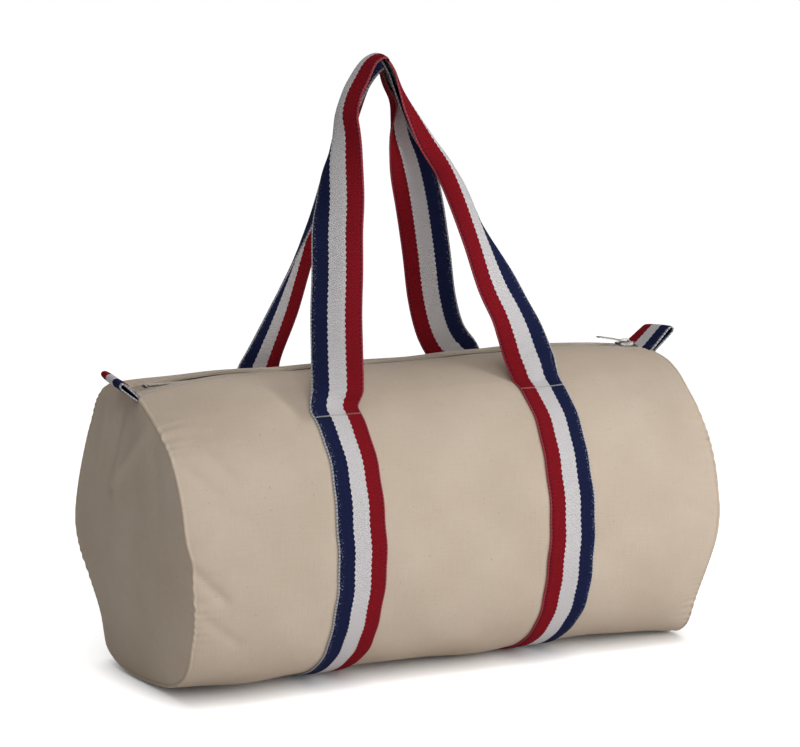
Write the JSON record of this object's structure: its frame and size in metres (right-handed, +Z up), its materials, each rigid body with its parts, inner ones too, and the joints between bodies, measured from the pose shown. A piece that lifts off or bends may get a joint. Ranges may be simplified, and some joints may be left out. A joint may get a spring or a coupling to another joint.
{
  "type": "barrel holdall",
  "caption": "Round-section canvas barrel bag with striped webbing handles, a full-length top zip with slider and puller, a mouth that folds open and end tab loops",
  "frame": {"origin": "on the floor, under the middle of the bag", "axes": "+X along the bag to the end where the closed zip's slider sits, -Y to the front, +Z up"},
  "size_m": [0.4953, 0.2436, 0.4834],
  "materials": {
    "main_panel": "natural cotton canvas",
    "left_end_panel": "natural cotton canvas",
    "right_end_panel": "natural cotton canvas",
    "front_mouth_panel": "natural cotton canvas",
    "back_mouth_panel": "natural cotton canvas",
    "left_seam_binding": "woven cotton binding",
    "right_seam_binding": "woven cotton binding",
    "left_body_webbing": "navy, white and red striped cotton webbing",
    "right_body_webbing": "navy, white and red striped cotton webbing",
    "front_handle": "navy, white and red striped cotton webbing",
    "back_handle": "navy, white and red striped cotton webbing",
    "left_tab_loop": "navy, white and red striped cotton webbing",
    "right_tab_loop": "navy, white and red striped cotton webbing",
    "front_left_cross_stitch": "spun thread",
    "front_right_cross_stitch": "spun thread",
    "back_left_cross_stitch": "spun thread",
    "back_right_cross_stitch": "spun thread",
    "front_zip_tape": "woven zip tape",
    "back_zip_tape": "woven zip tape",
    "left_zip_end_tape": "woven zip tape",
    "right_zip_end_tape": "woven zip tape",
    "front_zip_coil": "coiled nylon",
    "back_zip_coil": "coiled nylon",
    "left_zip_end_coil": "coiled nylon",
    "right_zip_end_coil": "coiled nylon",
    "left_zip_stop": "bright nickel plate",
    "right_zip_stop": "bright nickel plate",
    "zip_slider": "bright nickel plate",
    "zip_puller": "bright nickel plate"
  },
  "bodies": {
    "bag": {"main_panel": "main_panel", "left_end_panel": "left_end_panel", "right_end_panel": "right_end_panel", "left_seam_binding": "left_seam_binding", "right_seam_binding": "right_seam_binding", "left_body_webbing": "left_body_webbing", "right_body_webbing": "right_body_webbing", "front_left_cross_stitch": "front_left_cross_stitch", "front_right_cross_stitch": "front_right_cross_stitch", "back_left_cross_stitch": "back_left_cross_stitch", "back_right_cross_stitch": "back_right_cross_stitch", "left_zip_end_tape": "left_zip_end_tape", "right_zip_end_tape": "right_zip_end_tape", "left_zip_end_coil": "left_zip_end_coil", "right_zip_end_coil": "right_zip_end_coil", "left_zip_stop": "left_zip_stop", "right_zip_stop": "right_zip_stop"},
    "front_mouth": {"front_mouth_panel": "front_mouth_panel", "front_zip_tape": "front_zip_tape", "front_zip_coil": "front_zip_coil"},
    "back_mouth": {"back_mouth_panel": "back_mouth_panel", "back_zip_tape": "back_zip_tape", "back_zip_coil": "back_zip_coil"},
    "slider": {"zip_slider": "zip_slider"},
    "puller": {"zip_puller": "zip_puller"},
    "front_loop": {"front_handle": "front_handle"},
    "back_loop": {"back_handle": "back_handle"},
    "left_tab": {"left_tab_loop": "left_tab_loop"},
    "right_tab": {"right_tab_loop": "right_tab_loop"}
  },
  "joints": [
    {"name": "front_mouth_fold", "type": "hinge", "parent": "bag", "child": "front_mouth", "pos_m": [0, -0.0615, 0.22479], "axis": [1, 0, 0], "range_deg": [0, 45]},
    {"name": "back_mouth_fold", "type": "hinge", "parent": "bag", "child": "back_mouth", "pos_m": [0, 0.0615, 0.22479], "axis": [-1, 0, 0], "range_deg": [0, 45]},
    {"name": "slider_run", "type": "slide", "parent": "bag", "child": "slider", "axis": [-1, 0, 0], "range_m": [0, 0.4155]},
    {"name": "puller_pivot", "type": "hinge", "parent": "slider", "child": "puller", "pos_m": [0.2105, 0, 0.2421], "axis": [0, 1, 0], "range_deg": [0, 110]},
    {"name": "front_handle_fold", "type": "hinge", "parent": "bag", "child": "front_loop", "pos_m": [0, -0.07427, 0.21993], "axis": [0.9981, 0.0508, 0.0354], "range_deg": [0, 120]},
    {"name": "back_handle_fold", "type": "hinge", "parent": "bag", "child": "back_loop", "pos_m": [0, 0.07426, 0.21993], "axis": [-0.9981, 0.0508, -0.0354], "range_deg": [0, 120]},
    {"name": "left_tab_bend", "type": "hinge", "parent": "bag", "child": "left_tab", "pos_m": [-0.2268, 0, 0.23624], "axis": [0, 1, 0], "range_deg": [-15, 10]},
    {"name": "right_tab_bend", "type": "hinge", "parent": "bag", "child": "right_tab", "pos_m": [0.2268, 0, 0.23624], "axis": [0, -1, 0], "range_deg": [-15, 10]}
  ]
}
